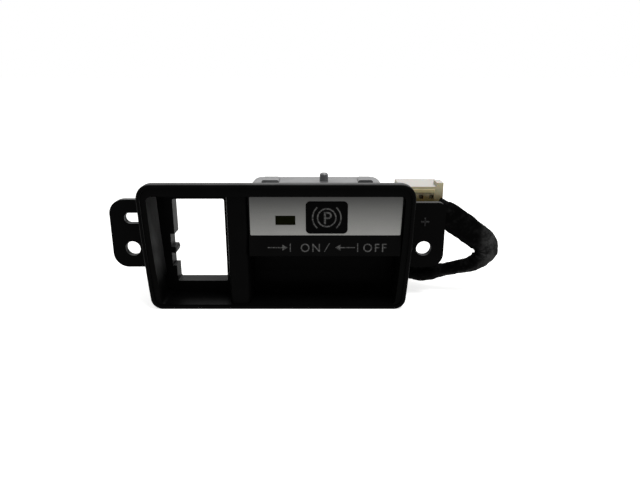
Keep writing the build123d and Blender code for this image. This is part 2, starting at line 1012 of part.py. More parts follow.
# Screws
def make_screw(x, z, seat, length):
    """Pan-head screw along Y, with its head behind the depth seat."""
    head = rod(x, z, screw_head_d / 2, seat, seat + screw_head_height)
    head = chamfer(head.edges().sort_by(Axis.Y)[-1], screw_head_slope)
    shank = plate(Pos(x, z) * RegularPolygon(screw_d / 2, screw_sides), seat - length, length)
    recess_front = seat + screw_head_height - screw_recess_depth
    recess = plate(Pos(x, z) * Rectangle(screw_recess_d, screw_recess_width), recess_front, screw_recess_depth)
    recess += plate(Pos(x, z) * Rectangle(screw_recess_width, screw_recess_d), recess_front, screw_recess_depth)
    return head + shank - recess


def make_housing_screws():
    seat = housing_front + tab_thickness
    return Compound(children=[make_screw(x, z, seat, screw_length) for x, z in housing_screw_places()])


def make_cover_screws():
    seat = housing_back + rear_cover_thickness
    return Compound(children=[make_screw(x, z, seat, cover_screw_length) for x, z in cover_screw_places()])


# Harness
def grommet_end():
    return housing_right + grommet_flange + grommet_length


def make_grommet():
    """Rubber sleeve in the side wall of the housing."""
    groove = grommet_d / 2 - grommet_groove
    inside = cross_rod(
        grommet_y,
        grommet_z,
        groove,
        housing_right - housing_wall - grommet_inner_end,
        housing_right,
    )
    flange = cross_rod(grommet_y, grommet_z, grommet_d / 2, housing_right, housing_right + grommet_flange)
    sleeve = cross_rod(grommet_y, grommet_z, groove + grommet_sleeve, housing_right + grommet_flange, grommet_end())
    return inside + flange + sleeve


wire_middle_y = wire_first_y - wire_layer
wire_middle_z = sum(wire_rows) / len(wire_rows)
harness_points = (
    (grommet_end(), grommet_y, grommet_z),
    (grommet_end() + harness_lead, grommet_y, grommet_z),
    (grommet_end() + 11.4, 13.8, -15.2),
    (grommet_end() + 16.8, 10.6, -14.4),
    (grommet_end() + 22.5, 8.4, -12.6),
    (grommet_end() + 28.6, 7.2, -11.2),
    (grommet_end() + 34.6, 6.7, -10.2),
    (grommet_end() + 39.2, 6.4, -7.4),
    (grommet_end() + 41.4, 6.2, -2.5),
    (grommet_end() + 40.3, 6.1, 3.0),
    (grommet_end() + 36.3, 6.0, 7.0),
    (grommet_end() + 31.5, 5.9, 10.9),
    (wire_end_x + harness_tail, wire_middle_y, wire_middle_z),
    (wire_end_x, wire_middle_y, wire_middle_z),
)


def harness_radii():
    """Each bend takes 0.45 of the shorter run beside it."""
    radii = []
    for before, point, after in zip(harness_points, harness_points[1:], harness_points[2:]):
        arriving = Vector(*point) - Vector(*before)
        leaving = Vector(*after) - Vector(*point)
        turn = arriving.get_angle(leaving)
        shorter = min(arriving.length, leaving.length)
        radii.append(0.45 * shorter / tangent(turn / 2))
    return radii


def tangent(degrees):
    """Tangent of an angle, from a right-angled pair of vectors turned by it."""
    turned = Vector(1, 0, 0).rotate(Axis.Z, degrees)
    return turned.Y / turned.X


def make_harness():
    radii = harness_radii()
    print("harness radii", [round(radius, 1) for radius in radii])
    path = wire_path(harness_points, radii)
    cord = tube(path, harness_d, harness_sides)
    print("harness length", round(path.length, 1), "volume", round(cord.volume, 1))
    print("section times length", round(RegularPolygon(harness_d / 2, harness_sides).area * path.length, 1))
    return cord


def make_connector_wires():
    """Wires from the connector, bent sideways in flat layers behind the ear."""
    wires = []
    for layer, x in enumerate(reversed(cavity_columns)):
        y = wire_first_y - layer * wire_layer
        for z in wire_rows:
            points = ((x, connector_front, z), (x, y, z), (wire_end_x, y, z))
            if connector_front - y < wire_bend:
                bend = connector_front - y - wire_bend_end
            else:
                bend = wire_bend
            wires.append(tube(wire_path(points, [bend]), wire_d, wire_sides))
    return Compound(children=wires)


# Connector
def make_connector_housing():
    body = block(
        connector_left,
        connector_right,
        connector_front,
        connector_back,
        connector_bottom,
        connector_top,
    )
    body = fillet(body.edges().filter_by(Axis.Y), connector_edge_radius)
    body += block(
        connector_right - end_block_width,
        connector_right,
        connector_front,
        connector_front + end_block_depth,
        connector_top - join,
        connector_top + end_block_height,
    )
    body -= block(
        connector_left + connector_wall,
        connector_right - connector_wall,
        connector_back - connector_cavity_depth,
        connector_back,
        connector_bottom + connector_wall,
        connector_top - connector_wall,
    )
    for x in cavity_columns:
        for z in cavity_rows:
            hole = Pos(x, z) * Rectangle(cavity_size, cavity_size)
            if z in wire_rows:
                depth = connector_back - connector_cavity_depth - connector_front
            else:
                depth = unused_cavity_depth
            body -= plate(hole, connector_front, depth)
    body -= block(
        retainer_left,
        retainer_right,
        connector_front,
        connector_front + retainer_depth,
        retainer_bottom,
        retainer_bottom + retainer_height,
    )
    for side in (-1, 1):
        near = rail_x + side * (rail_head_width / 2 + rail_gap)
        far = near + side * rail_foot
        inner = rail_x + side * (rail_stem_width / 2 + rail_gap)
        foot_top = connector_bottom - rail_gap - rail_head_height - rail_gap
        body += block(
            min(near, far),
            max(near, far),
            rail_front,
            rail_front + rail_length,
            foot_top - rail_foot,
            connector_bottom,
        )
        body += block(
            min(inner, far),
            max(inner, far),
            rail_front,
            rail_front + rail_length,
            foot_top - rail_foot,
            foot_top,
        )
    return body


def make_connector_retainer():
    bar = block(
        retainer_left,
        retainer_right,
        connector_front - retainer_proud,
        connector_front + retainer_depth,
        retainer_bottom,
        retainer_bottom + retainer_height,
    )
    return fillet(bar.faces().sort_by(Axis.Y)[0].edges(), retainer_edge_radius)


def make_connector_terminals():
    pins = []
    for x in cavity_columns:
        for z in wire_rows:
            outline = Pos(x, z) * Rectangle(terminal_size, terminal_size)
            pin = plate(outline, connector_front, terminal_length)
            wide = Pos(x, z) * Rectangle(cavity_size, cavity_size)
            pin += plate(
                wide,
                connector_front + terminal_box_setback,
                connector_back - connector_cavity_depth - connector_front - terminal_box_setback,
            )
            pins.append(pin)
    return Compound(children=pins)


pieces = {
    "bezel": make_bezel(),
    "knob": make_knob(),
    "trim_strip": make_trim_strip(),
    "indicator_lens": make_indicator_lens(),
    "symbol_plate": make_symbol_plate(),
    "hinge_pin": make_hinge_pin(),
    "switch_housing": make_switch_housing(),
    "rear_cover": make_rear_cover(),
    "circuit_board": make_circuit_board(),
    "indicator_led": make_led(window_x, window_z),
    "symbol_led": make_led(symbol_x, symbol_pipe_z()),
    "indicator_light_pipe": make_indicator_pipe(),
    "symbol_light_pipe": make_symbol_pipe(),
    "contact_pads": make_contact_pads(),
    "board_components": make_board_components(),
    "contact_slider": make_contact_slider(),
    "contact_wipers": make_contact_wipers(),
    "upper_spring": make_spring(slider_top, slider_top + spring_space()),
    "lower_spring": make_spring(slider_bottom - spring_space(), slider_bottom),
    "housing_screws": make_housing_screws(),
    "cover_screws": make_cover_screws(),
    "grommet": make_grommet(),
    "harness": make_harness(),
    "connector_wires": make_connector_wires(),
    "connector_housing": make_connector_housing(),
    "connector_retainer": make_connector_retainer(),
    "connector_terminals": make_connector_terminals(),
}

for name, piece in pieces.items():
    export_step(piece, f"parts/{name}.step")
    print(name, "written")
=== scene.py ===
import math

import bmesh
import bpy
from mathutils import Matrix, Vector, noise


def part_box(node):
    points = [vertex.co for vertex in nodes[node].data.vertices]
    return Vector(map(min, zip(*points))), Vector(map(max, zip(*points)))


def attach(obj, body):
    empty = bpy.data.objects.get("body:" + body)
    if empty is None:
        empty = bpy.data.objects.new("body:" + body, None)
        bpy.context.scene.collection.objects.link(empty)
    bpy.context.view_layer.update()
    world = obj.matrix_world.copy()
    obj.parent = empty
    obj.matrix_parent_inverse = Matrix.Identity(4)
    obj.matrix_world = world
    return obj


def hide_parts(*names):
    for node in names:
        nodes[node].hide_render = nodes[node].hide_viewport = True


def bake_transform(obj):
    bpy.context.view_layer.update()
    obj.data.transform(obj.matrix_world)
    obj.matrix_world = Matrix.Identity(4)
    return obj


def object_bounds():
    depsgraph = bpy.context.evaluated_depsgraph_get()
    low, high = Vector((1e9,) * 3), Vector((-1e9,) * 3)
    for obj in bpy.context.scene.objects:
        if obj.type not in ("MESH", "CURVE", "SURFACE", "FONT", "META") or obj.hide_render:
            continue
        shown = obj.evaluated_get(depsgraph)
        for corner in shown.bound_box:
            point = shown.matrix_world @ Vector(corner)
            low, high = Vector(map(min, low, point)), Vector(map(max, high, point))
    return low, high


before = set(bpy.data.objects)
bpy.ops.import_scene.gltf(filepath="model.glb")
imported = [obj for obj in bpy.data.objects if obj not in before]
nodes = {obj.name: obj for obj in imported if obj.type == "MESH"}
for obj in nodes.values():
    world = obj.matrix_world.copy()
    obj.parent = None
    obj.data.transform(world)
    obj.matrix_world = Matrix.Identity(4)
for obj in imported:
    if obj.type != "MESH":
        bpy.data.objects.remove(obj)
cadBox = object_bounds()
print("frame loaded:", len(nodes), "nodes")


# small helpers

def mm(value):
    return value * 0.001


def linearColour(hexCode):
    # sRGB hex to the linear values that shaders take
    channels = [int(hexCode[i:i + 2], 16) / 255 for i in (1, 3, 5)]
    return tuple(c / 12.92 if c <= 0.04045 else ((c + 0.055) / 1.055) ** 2.4 for c in channels) + (1.0,)


def addNode(tree, kind, settings=None, links=None):
    # a key names a socket by name or number, or else a property of the node
    node = tree.nodes.new(kind)
    sockets = {}
    for name, value in (settings or {}).items():
        if isinstance(name, int) or name in node.inputs:
            sockets[name] = value
        else:
            setattr(node, name, value)
    for name, value in sockets.items():
        node.inputs[name].default_value = value
    for name, source in (links or {}).items():
        tree.links.new(source, node.inputs[name])
    return node


def newPiece(name, data, material):
    piece = bpy.data.objects.new(name, data)
    bpy.context.scene.collection.objects.link(piece)
    data.materials.append(material)
    return piece


def addPiece(name, data, material, body):
    piece = newPiece(name, data, material)
    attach(piece, body)
    return piece


def meshFrom(name, vertices, faces, smooth=True):
    mesh = bpy.data.meshes.new(name)
    mesh.from_pydata(vertices, [], faces)
    if smooth:
        mesh.polygons.foreach_set("use_smooth", [True] * len(mesh.polygons))
    mesh.update()
    return mesh


# camera, sky, floor and lamps

studio = {
    "cameraPlace": (mm(18.5), mm(-236.8), mm(76.35)),
    "cameraTilt": 73.0,  # 17 degrees below the horizon
    "lens": 31.5,
    "sensor": 36.0,
    "clip": (0.01, 30.0),
    "floorSize": 6.0,
    "floorColour": "#d8d8d6",
    "floorGlow": 0.72,  # seen directly only, so that the floor reads white and keeps the shadow
    "skyLevel": 0.5,
    "keyLamp": {"place": (0.22, -0.20, 0.72), "size": (0.3, 0.3), "power": 4.5},
    "backLamp": {"place": (-0.05, 0.75, 0.42), "size": (0.9, 0.3), "power": 0.8},
}


def seenDirectly(tree):
    # 1 for what the camera, a gloss or a clear piece sees, and 0 for what only sheds light
    rays = addNode(tree, "ShaderNodeLightPath").outputs
    direct = addNode(tree, "ShaderNodeMath", {"operation": "MAXIMUM"},
                     {0: rays["Is Camera Ray"], 1: rays["Is Transmission Ray"]})
    seen = addNode(tree, "ShaderNodeMath", {"operation": "MAXIMUM"},
                   {0: direct.outputs[0], 1: rays["Is Glossy Ray"]})
    return seen.outputs[0]


def makeCamera():
    data = bpy.data.cameras.new("camera")
    data.lens = studio["lens"]
    data.sensor_width = studio["sensor"]
    data.clip_start, data.clip_end = studio["clip"]
    camera = bpy.data.objects.new("camera", data)
    camera.location = studio["cameraPlace"]
    camera.rotation_euler = (math.radians(studio["cameraTilt"]), 0.0, 0.0)
    bpy.context.scene.collection.objects.link(camera)
    bpy.context.scene.camera = camera


def makeSky():
    # white where it is seen directly, and a plain level elsewhere
    world = bpy.data.worlds.new("studioSky")
    bpy.context.scene.world = world
    world.use_nodes = True
    tree = world.node_tree
    tree.nodes.clear()
    colour = linearColour("#ffffff")
    plain = addNode(tree, "ShaderNodeBackground", {"Color": colour, "Strength": studio["skyLevel"]})
    white = addNode(tree, "ShaderNodeBackground", {"Color": colour, "Strength": 1.0})
    mix = addNode(tree, "ShaderNodeMixShader", {},
                  {0: seenDirectly(tree), 1: plain.outputs[0], 2: white.outputs[0]})
    addNode(tree, "ShaderNodeOutputWorld", {}, {"Surface": mix.outputs[0]})


def startMaterial(name):
    material = bpy.data.materials.new(name)
    material.use_nodes = True
    material.node_tree.nodes.clear()
    return material, material.node_tree


def makeFloor():
    low = cadBox[0][2]
    size = studio["floorSize"]
    corners = [(-size, -size, low), (size, -size, low), (size, size, low), (-size, size, low)]
    floor = bpy.data.objects.new("floor", meshFrom("floor", corners, [(0, 1, 2, 3)], smooth=False))
    bpy.context.scene.collection.objects.link(floor)
    material, tree = startMaterial("paleStudioFloor")
    paint = addNode(tree, "ShaderNodeBsdfDiffuse", {"Color": linearColour(studio["floorColour"])})
    glow = addNode(tree, "ShaderNodeEmission",
                   {"Color": linearColour("#ffffff"), "Strength": studio["floorGlow"]})
    lit = addNode(tree, "ShaderNodeAddShader", {}, {0: paint.outputs[0], 1: glow.outputs[0]})
    mix = addNode(tree, "ShaderNodeMixShader", {},
                  {0: seenDirectly(tree), 1: paint.outputs[0], 2: lit.outputs[0]})
    addNode(tree, "ShaderNodeOutputMaterial", {}, {"Surface": mix.outputs[0]})
    floor.data.materials.append(material)


def makeLamp(name):
    facts = studio[name]
    data = bpy.data.lights.new(name, "AREA")
    data.shape = "RECTANGLE"
    data.size, data.size_y = facts["size"]
    data.energy = facts["power"]
    lamp = bpy.data.objects.new(name, data)
    lamp.location = facts["place"]
    lamp.rotation_euler = (-Vector(facts["place"])).to_track_quat("-Z", "Y").to_euler()
    bpy.context.scene.collection.objects.link(lamp)


makeCamera()
makeSky()
makeFloor()
makeLamp("keyLamp")
makeLamp("backLamp")
bpy.context.scene.view_settings.view_transform = "Standard"
print("camera, sky, floor and lamps ready")


# steps that the materials share

def perMetre(size):
    # texture scale that gives a feature of that size in millimetres
    return 1000.0 / size


def pieceSpace(tree):
    return addNode(tree, "ShaderNodeTexCoord").outputs["Object"]


def axesOf(tree, vector):
    return addNode(tree, "ShaderNodeSeparateXYZ", {}, {0: vector}).outputs


def facing(tree):
    # how far a face turns to the right, to the back and up
    return axesOf(tree, addNode(tree, "ShaderNodeNewGeometry").outputs["Normal"])


def stretched(tree, vector, scaleX):
    return addNode(tree, "ShaderNodeMapping", {"Scale": (scaleX, 1.0, 1.0)}, {"Vector": vector}).outputs[0]


def noiseMm(tree, vector, size, detail, roughness=0.5, distortion=0.0):
    settings = {"Scale": perMetre(size), "Detail": detail, "Roughness": roughness,
                "Distortion": distortion}
    return addNode(tree, "ShaderNodeTexNoise", settings, {"Vector": vector}).outputs["Fac"]


def ramp(tree, value, fromRange=(0.0, 1.0), toRange=(0.0, 1.0), curve="LINEAR"):
    # the value carried from one range to the other, and kept within it
    settings = {"From Min": fromRange[0], "From Max": fromRange[1],
                "To Min": toRange[0], "To Max": toRange[1], "interpolation_type": curve}
    return addNode(tree, "ShaderNodeMapRange", settings, {"Value": value}).outputs[0]


def rampMm(tree, value, fromRange, toRange=(0.0, 1.0), curve="LINEAR"):
    return ramp(tree, value, (mm(fromRange[0]), mm(fromRange[1])), toRange, curve)


def product(tree, *values):
    # all the values multiplied
    result = values[0]
    for value in values[1:]:
        result = addNode(tree, "ShaderNodeMath", {"operation": "MULTIPLY"}, {0: result, 1: value}).outputs[0]
    return result


def mixColours(tree, share, start, end):
    # each colour is a hex code or the output of another step
    settings = {"data_type": "RGBA"}
    links = {0: share}
    for socket, colour in ((6, start), (7, end)):
        if isinstance(colour, str):
            settings[socket] = linearColour(colour)
        else:
            links[socket] = colour
    return addNode(tree, "ShaderNodeMix", settings, links).outputs[2]


def bumpMm(tree, height, strength, depth):
    settings = {"Strength": strength, "Distance": mm(depth)}
    return addNode(tree, "ShaderNodeBump", settings, {"Height": height}).outputs[0]


def withSurface(material, settings, links):
    tree = material.node_tree
    surface = addNode(tree, "ShaderNodeBsdfPrincipled", settings, links)
    addNode(tree, "ShaderNodeOutputMaterial", {}, {"Surface": surface.outputs[0]})
    return material


# materials

frameLitFaces = {
    # painted light on the inner walls that face right, left of the knob, and stronger deep inside
    "wallColour": "#5c5c5c",
    "wallFacing": (0.75, 0.95),
    "wallX": (-20.0, -30.0),
    "wallY": (-12.5, -1.0),
    "wallZ": (-12.0, 12.0),
    "frontShare": 0.15,
    # a weaker painted highlight, broken into patches, on what faces up, above the floor of the frame
    "topColour": "#5a5a5a",
    "topFacing": (0.6, 0.95),
    "topZ": (-17.5, -15.0),
    "patches": (0.3, 0.7),
    "thinnest": 0.6,
    # less of the painted highlight on the body behind the rim than on the rim's own top edge
    "bodyZ": (23.0, 25.0),
    "bodyShare": 0.3,
    "rimZ": (29.5, 30.5),
    "rimShare": 0.7,
}


def paintLitFaces(tree, paintedLight, place, patches, colour):
    # painted light: inner walls facing right made paler, and a painted highlight on upward faces
    normal = facing(tree)
    where = axesOf(tree, place)
    wall = ramp(tree, normal["X"], paintedLight["wallFacing"])
    left = rampMm(tree, where["X"], paintedLight["wallX"])
    deep = rampMm(tree, where["Y"], paintedLight["wallY"], (paintedLight["frontShare"], 1.0))
    high = rampMm(tree, where["Z"], paintedLight["wallZ"])
    litColour = mixColours(tree, product(tree, wall, left, deep, high), colour, paintedLight["wallColour"])
    flat = ramp(tree, normal["Z"], paintedLight["topFacing"])
    above = rampMm(tree, where["Z"], paintedLight["topZ"])
    broken = ramp(tree, patches, paintedLight["patches"], (paintedLight["thinnest"], 1.0))
    body = rampMm(tree, where["Z"], paintedLight["bodyZ"], (1.0, paintedLight["bodyShare"]))
    rim = rampMm(tree, where["Z"], paintedLight["rimZ"], (0.0, paintedLight["rimShare"]))
    share = addNode(tree, "ShaderNodeMath", {"operation": "ADD"}, {0: body, 1: rim}).outputs[0]
    return mixColours(tree, product(tree, flat, above, broken, share), litColour, paintedLight["topColour"])


def mouldedPlastic(name, dark, pale, roughness, specular, grain, grainDepth, patch=14.0, paintedLight=None):
    # black plastic or rubber from an eroded mould or die: a dull even grain, shinier in soft patches
    material, tree = startMaterial(name)
    place = pieceSpace(tree)
    patches = noiseMm(tree, place, patch, detail=5.0, roughness=0.6)
    colour = mixColours(tree, patches, dark, pale)
    shine = ramp(tree, patches, (0.3, 0.7), (roughness - 0.06, roughness + 0.08))
    pits = addNode(tree, "ShaderNodeTexVoronoi", {"Scale": perMetre(grain), "feature": "SMOOTH_F1"},
                   {"Vector": place})
    bump = bumpMm(tree, pits.outputs["Distance"], strength=0.6, depth=grainDepth)
    # painted light and highlight on the faces that the settings pick, when given
    if paintedLight:
        colour = paintLitFaces(tree, paintedLight, place, patches, colour)
    return withSurface(material, {"IOR": 1.54, "Specular IOR Level": specular},
                       {"Base Color": colour, "Roughness": shine, "Normal": bump})


def glassFilledNylon():
    # black nylon with glass fibre: flow streaks and pale fibre specks on a semi-matt skin, greyed in patches
    # on its upward faces by painted top light
    material, tree = startMaterial("glassFilledNylon")
    place = pieceSpace(tree)
    flow = stretched(tree, place, 0.35)
    streaks = noiseMm(tree, flow, 3.0, detail=6.0, distortion=0.8)
    fibres = noiseMm(tree, flow, 0.3, detail=2.0)
    skin = mixColours(tree, streaks, "#1a1a1b", "#2b2b2c")
    flecked = mixColours(tree, ramp(tree, fibres, (0.62, 0.72)), skin, "#4a4a4a")
    # near its top the painted top light also falls on faces that don't turn up
    least = rampMm(tree, axesOf(tree, place)["Z"], (19.0, 23.0), (-0.4, -6.0))
    upFacingShare = addNode(tree, "ShaderNodeMapRange", {"From Max": 0.9},
                      {"Value": facing(tree)["Z"], "From Min": least})
    patches = noiseMm(tree, place, 9.0, detail=5.0, roughness=0.6)
    # painted top light, broken into patches
    paintedLight = product(tree, upFacingShare.outputs[0], ramp(tree, patches, (0.32, 0.62), (0.38, 0.9)))
    litColour = mixColours(tree, paintedLight, flecked, "#656566")
    shine = ramp(tree, streaks, toRange=(0.3, 0.46))
    bump = bumpMm(tree, fibres, strength=0.4, depth=0.04)
    return withSurface(material, {"IOR": 1.53}, {"Base Color": litColour, "Roughness": shine, "Normal": bump})


def satinSilverPaint():
    # silver lacquer over plastic: fine flake, a soft sheen, fine rub marks along X and a few brown specks,
    # with a painted shadow darkening it towards the top, under the rim
    material, tree = startMaterial("satinSilverPaint")
    place = pieceSpace(tree)
    where = axesOf(tree, place)
    flakes = noiseMm(tree, place, 0.35, detail=3.0)
    rubs = noiseMm(tree, stretched(tree, place, 0.08), 0.9, detail=4.0)
    clouds = noiseMm(tree, place, 18.0, detail=3.0)
    lacquer = mixColours(tree, clouds, "#797977", "#8a8a87")
    sparkle = addNode(tree, "ShaderNodeMix", {"data_type": "RGBA", "blend_type": "SOFT_LIGHT", 0: 0.35},
                      {6: lacquer, 7: flakes})
    # painted shadow of the rim: darker towards the top of the strip
    rimShadowShare = rampMm(tree, where["Z"], (9.0, 25.5))
    rimShadowed = mixColours(tree, rimShadowShare, sparkle.outputs[2], "#3a3a39")
    specks = noiseMm(tree, place, 1.1, detail=5.0, roughness=0.7)
    rightEnd = rampMm(tree, where["X"], (36.0, 50.0))
    dirt = product(tree, ramp(tree, specks, (0.69, 0.75)), rightEnd)
    dirty = mixColours(tree, dirt, rimShadowed, "#4a3f28")
    shine = ramp(tree, rubs, toRange=(0.34, 0.52))
    bump = bumpMm(tree, flakes, strength=0.25, depth=0.03)
    return withSurface(material, {"Metallic": 0.45},
                       {"Base Color": dirty, "Roughness": shine, "Normal": bump})


def smokedAcrylic():
    # dark smoked acrylic with an olive cast and a faint haze, so that little of the room shows in it
    material, tree = startMaterial("smokedAcrylic")
    haze = noiseMm(tree, pieceSpace(tree), 2.5, detail=4.0)
    tint = mixColours(tree, haze, "#060701", "#0e0f03")
    shine = ramp(tree, haze, toRange=(0.1, 0.22))
    return withSurface(material, {"IOR": 1.49, "Specular IOR Level": 0.006},
                       {"Base Color": tint, "Roughness": shine})


def padPrintInk():
    # pale grey pad-printed ink, thin enough that the black shows through it in places
    material, tree = startMaterial("padPrintInk")
    worn = noiseMm(tree, pieceSpace(tree), 0.5, detail=4.0)
    tint = mixColours(tree, ramp(tree, worn, (0.35, 0.6)), "#222222", "#535352")
    return withSurface(material, {"Roughness": 0.6, "IOR": 1.5, "Specular IOR Level": 0.1},
                       {"Base Color": tint})


def turnedMetal(name, dark, bright, roughness, grain=0.4):
    # drawn or plated metal: fine drawing marks, brighter and duller in turn
    material, tree = startMaterial(name)
    marks = noiseMm(tree, pieceSpace(tree), grain, detail=5.0)
    tint = mixColours(tree, marks, dark, bright)
    shine = ramp(tree, marks, toRange=(roughness + 0.12, roughness - 0.06))
    bump = bumpMm(tree, marks, strength=0.2, depth=0.02)
    return withSurface(material, {"Metallic": 1.0}, {"Base Color": tint, "Roughness": shine, "Normal": bump})


def milkyNylon(name, mainColour, lowDownColour, roughness, side=None):
    # uncoloured nylon or acetal: milky, a little light goes in, yellower on its sides, browner low down
    material, tree = startMaterial(name)
    place = pieceSpace(tree)
    clouds = noiseMm(tree, place, 6.0, detail=4.0)
    # darker and browner low down, from a height of 26 mm to 20 mm
    low = rampMm(tree, axesOf(tree, place)["Z"], (26.0, 20.0))
    lowDownShare = addNode(tree, "ShaderNodeMath", {"operation": "MULTIPLY", 1: 2.2, "use_clamp": True},
                  {0: product(tree, clouds, low)})
    aside = ramp(tree, facing(tree)["Z"], (0.8, 0.3))
    sideTinted = mixColours(tree, aside, mainColour, side or mainColour)
    tint = mixColours(tree, lowDownShare.outputs[0], sideTinted, lowDownColour)
    bump = bumpMm(tree, clouds, strength=0.2, depth=0.05)
    settings = {"IOR": 1.53, "Roughness": roughness, "Subsurface Weight": 0.25, "Subsurface Scale": mm(1.0)}
    return withSurface(material, settings, {"Base Color": tint, "Normal": bump})


def vinylTape():
    # black PVC harness tape: low sheen, fine calender grain, scuffs, and a painted highlight in grey patches
    # at the outer bend
    material, tree = startMaterial("vinylTape")
    place = pieceSpace(tree)
    grain = noiseMm(tree, place, 0.5, detail=4.0)
    scuffsAndHighlightPatches = noiseMm(tree, place, 3.0, detail=6.0, roughness=0.65)
    tint = mixColours(tree, ramp(tree, scuffsAndHighlightPatches, (0.5, 0.72)), "#030303", "#131313")
    # painted highlight: grey patches near the outer bend of the loop
    bend = rampMm(tree, axesOf(tree, place)["X"], (88.5, 96.5), curve="SMOOTHSTEP")
    creaseHighlight = product(tree, bend, ramp(tree, scuffsAndHighlightPatches, (0.3, 0.6)))
    highlighted = mixColours(tree, creaseHighlight, tint, "#3a3a3a")
    shine = ramp(tree, scuffsAndHighlightPatches, toRange=(0.34, 0.6))
    bump = bumpMm(tree, grain, strength=0.4, depth=0.06)
    return withSurface(material, {"IOR": 1.53, "Specular IOR Level": 0.008},
                       {"Base Color": highlighted, "Roughness": shine, "Normal": bump})


def solderMask():
    # green solder mask with paler copper tracks under it, 1.2 mm apart
    material, tree = startMaterial("solderMask")
    bricks = {"Scale": perMetre(6.0), "Mortar Size": 0.05, "Brick Width": 1.2, "Row Height": 0.2}
    tracks = addNode(tree, "ShaderNodeTexBrick", bricks, {"Vector": pieceSpace(tree)}).outputs["Fac"]
    tint = mixColours(tree, tracks, "#14532f", "#2f7f4d")
    bump = bumpMm(tree, tracks, strength=0.3, depth=0.05)
    return withSurface(material, {"Roughness": 0.3, "IOR": 1.5}, {"Base Color": tint, "Normal": bump})


def clearAcrylic():
    # polished clear acrylic light pipe, with the faint ripple of a thick moulding
    material, tree = startMaterial("clearAcrylic")
    ripple = noiseMm(tree, pieceSpace(tree), 5.0, detail=2.0)
    settings = {"Base Color": linearColour("#eef4f2"), "Roughness": 0.06, "IOR": 1.49,
                "Transmission Weight": 0.95}
    return withSurface(material, settings, {"Normal": bumpMm(tree, ripple, strength=0.1, depth=0.1)})


frameBlack = mouldedPlastic("mouldedBlackAbs", "#030303", "#080808", roughness=0.38, specular=0.012,
                            grain=0.45, grainDepth=0.04, paintedLight=frameLitFaces)
knobBlack = mouldedPlastic("grainedBlackAbs", "#040404", "#0a0a0a", roughness=0.45, specular=0.012,
                           grain=0.35, grainDepth=0.04)
# pale sheet for the painted highlight on the ear's cross
crossHighlightBlack = mouldedPlastic("paintedHighlightAbs", "#121212", "#282828", roughness=0.4, specular=0.05,
                             grain=0.3, grainDepth=0.02, patch=1.2)
symbolBlack = mouldedPlastic("satinBlackPolycarbonate", "#020202", "#060606", roughness=0.3, specular=0.01,
                             grain=0.3, grainDepth=0.01)
epoxyBlack = mouldedPlastic("mouldedEpoxy", "#141415", "#222223", roughness=0.6, specular=0.5,
                            grain=0.3, grainDepth=0.02)
rubberBlack = mouldedPlastic("mouldedRubber", "#0b0b0b", "#171716", roughness=0.72, specular=0.2,
                             grain=0.25, grainDepth=0.03)
jacketBlack = mouldedPlastic("extrudedPvcJacket", "#070708", "#101011", roughness=0.4, specular=0.08,
                             grain=0.8, grainDepth=0.01)
housingBlack = glassFilledNylon()
silverPaint = satinSilverPaint()
smokedLens = smokedAcrylic()
printInk = padPrintInk()
oiledSteel = turnedMetal("oiledBlackenedSteel", "#1a1a1b", "#2e2e2f", roughness=0.45)
zincSteel = turnedMetal("zincPlatedSteel", "#8b8e93", "#c4c6ca", roughness=0.3)
springSteel = turnedMetal("drawnSpringSteel", "#66686b", "#a9abae", roughness=0.34, grain=0.25)
bronze = turnedMetal("phosphorBronze", "#8a5a33", "#c98f5a", roughness=0.32)
tinnedBrass = turnedMetal("tinnedBrass", "#6e6247", "#b9b29a", roughness=0.36)
connectorNylon = milkyNylon("milkyNaturalNylon", "#aca8a2", "#56481f", roughness=0.42, side="#a89f7f")
retainerNylon = milkyNylon("naturalNylonBar", "#b2a67a", "#6f6238", roughness=0.45)
acetal = milkyNylon("naturalAcetal", "#e3e1db", "#d2cec2", roughness=0.38)
ledWhite = milkyNylon("whiteLampCase", "#e9e7df", "#ddd8c6", roughness=0.4)
tapeBlack = vinylTape()
boardGreen = solderMask()
clearPipe = clearAcrylic()

finishes = {
    "bezel": frameBlack, "knob": knobBlack, "trim_strip": silverPaint, "indicator_lens": smokedLens,
    "symbol_plate": symbolBlack, "hinge_pin": oiledSteel, "switch_housing": housingBlack,
    "rear_cover": housingBlack, "circuit_board": boardGreen, "board_components": epoxyBlack,
    "indicator_led": ledWhite, "symbol_led": ledWhite, "indicator_light_pipe": clearPipe,
    "symbol_light_pipe": clearPipe, "contact_pads": bronze, "contact_slider": acetal,
    "contact_wipers": bronze, "upper_spring": springSteel, "lower_spring": springSteel,
    "housing_screws": zincSteel, "cover_screws": zincSteel, "grommet": rubberBlack,
    "harness": tapeBlack, "connector_wires": jacketBlack, "connector_housing": connectorNylon,
    "connector_retainer": retainerNylon, "connector_terminals": tinnedBrass,
}


def paintNode(name, material):
    node = nodes[name]
    for slot in node.material_slots:
        slot.link = "OBJECT"
        slot.material = material


for nodeName, nodeFinish in finishes.items():
    paintNode(nodeName, nodeFinish)
print("materials ready")


# harness

